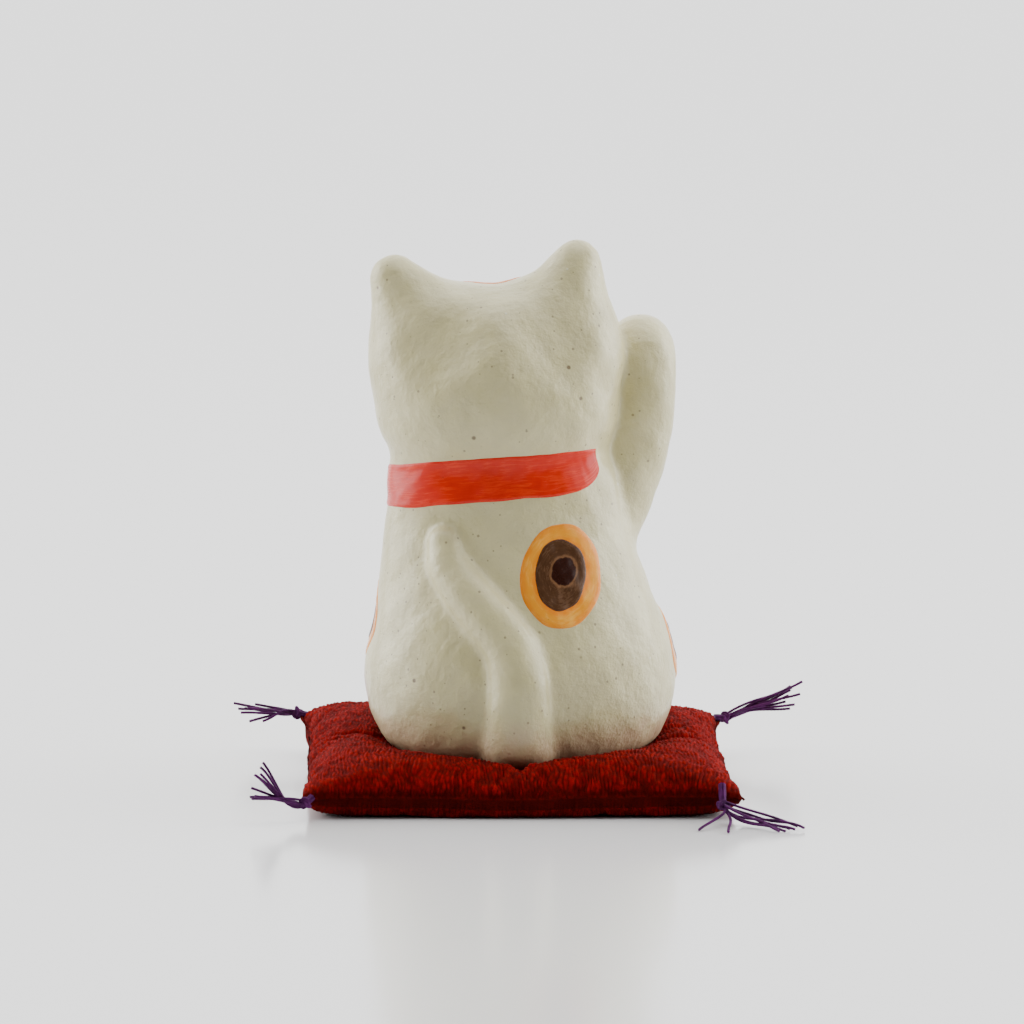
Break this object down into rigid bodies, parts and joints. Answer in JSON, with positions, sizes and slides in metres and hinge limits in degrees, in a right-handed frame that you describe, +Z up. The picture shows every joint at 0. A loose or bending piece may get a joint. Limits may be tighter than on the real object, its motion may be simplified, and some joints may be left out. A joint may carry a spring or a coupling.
{
  "type": "beckoning cat figurine",
  "caption": "Hollow glazed ceramic cat with one raised paw, a painted collar and spots, standing on a small stuffed cushion with corner tassels.",
  "frame": {"origin": "on the surface that the part rests on, under the middle of the cushion", "axes": "+Z up; the cat faces -Y; +X is the cat's left, so the raised paw is at -X"},
  "size_m": [0.1198, 0.0975, 0.1077],
  "materials": {
    "ceramic_glaze": "semi-matt off-white glaze with fine iron specks",
    "red_enamel": "glossy brushed red overglaze enamel",
    "amber_enamel": "glossy brushed amber overglaze enamel",
    "brown_enamel": "glossy dark brown overglaze enamel",
    "black_enamel": "glossy black overglaze enamel",
    "ochre_enamel": "glossy yellow ochre overglaze enamel",
    "red_crepe": "crinkled crepe cloth, dyed red",
    "wadding": "loose polyester wadding",
    "red_thread": "plied sewing thread, dyed red",
    "purple_thread": "plied thread, dyed purple"
  },
  "bodies": {
    "cushion": {"cushion_top_panel": "red_crepe", "cushion_bottom_panel": "red_crepe", "cushion_wadding": "wadding", "seam_thread": "red_thread"},
    "cat": {"cat_body": "ceramic_glaze", "raised_arm": "ceramic_glaze", "resting_arm": "ceramic_glaze", "hind_paws": "ceramic_glaze", "bell": "ochre_enamel", "collar_enamel": "red_enamel", "ear_enamel": "red_enamel", "crown_patch": "amber_enamel", "back_spot_amber": "amber_enamel", "back_spot_brown": "brown_enamel", "left_spot_amber": "amber_enamel", "left_spot_brown": "brown_enamel", "right_spot_amber": "amber_enamel", "right_spot_brown": "brown_enamel", "eye_enamel": "black_enamel", "nose_enamel": "red_enamel", "mouth_line": "brown_enamel", "whiskers": "brown_enamel", "toe_lines": "brown_enamel"},
    "tassel_back_left": {"tassel_back_left_knot": "purple_thread", "tassel_back_left_threads": "purple_thread"},
    "tassel_back_right": {"tassel_back_right_knot": "purple_thread", "tassel_back_right_threads": "purple_thread"},
    "tassel_front_left": {"tassel_front_left_knot": "purple_thread", "tassel_front_left_threads": "purple_thread"},
    "tassel_front_right": {"tassel_front_right_knot": "purple_thread", "tassel_front_right_threads": "purple_thread"}
  },
  "joints": [
    {"name": "cat_lift", "type": "slide", "parent": "cushion", "child": "cat", "axis": [0, 0, 1], "range_m": [0, 0.12]},
    {"name": "tassel_back_left_swing", "type": "hinge", "parent": "cushion", "child": "tassel_back_left", "pos_m": [0.04201, 0.03719, 0.00413], "axis": [0, 0, 1], "range_deg": [-20, 20]},
    {"name": "tassel_back_right_swing", "type": "hinge", "parent": "cushion", "child": "tassel_back_right", "pos_m": [-0.04176, 0.0377, 0.00387], "axis": [0, 0, 1], "range_deg": [-20, 20]},
    {"name": "tassel_front_left_swing", "type": "hinge", "parent": "cushion", "child": "tassel_front_left", "pos_m": [0.04204, -0.03706, 0.00698], "axis": [0, 0, 1], "range_deg": [-20, 20]},
    {"name": "tassel_front_right_swing", "type": "hinge", "parent": "cushion", "child": "tassel_front_right", "pos_m": [-0.04204, -0.03701, 0.00634], "axis": [0, 0, 1], "range_deg": [-20, 20]}
  ]
}
